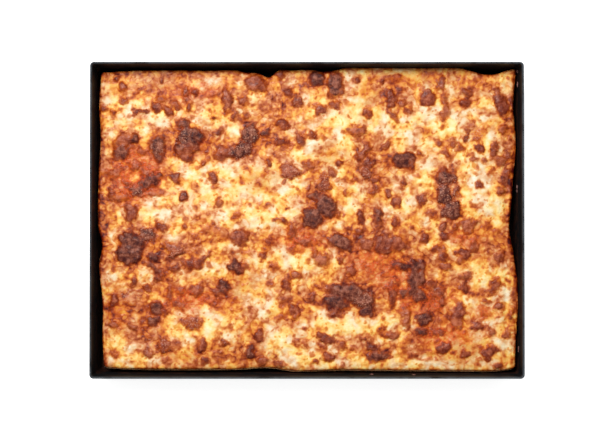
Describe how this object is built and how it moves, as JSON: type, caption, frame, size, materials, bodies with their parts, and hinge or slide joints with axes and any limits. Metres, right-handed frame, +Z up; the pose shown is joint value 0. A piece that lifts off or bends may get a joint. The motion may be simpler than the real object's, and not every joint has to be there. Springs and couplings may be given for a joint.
{
  "type": "cheese pizza in a baking tray",
  "caption": "Rectangular thick-crust pizza with browned, blistered cheese, baked edge to edge in a black straight-walled metal tray.",
  "frame": {"origin": "middle of the tray's flat underside, on the surface it stands on", "axes": "+X along the tray's long side, to the picture's right; +Y along its short side, to the picture's top; +Z up, out of the tray's open side"},
  "size_m": [0.3658, 0.2668, 0.045],
  "materials": {
    "tray": "satin black baked coating, worn brighter along the rim, with brown baked-on grease inside",
    "crust": "matte baked dough, tan at the rim and darker brown where it met the tray",
    "cheese": "melted cheese with an oily sheen, pale cream to golden, with brown and charred blisters"
  },
  "bodies": {
    "root": {"tray": "tray", "crust": "crust", "cheese": "cheese"}
  },
  "joints": []
}
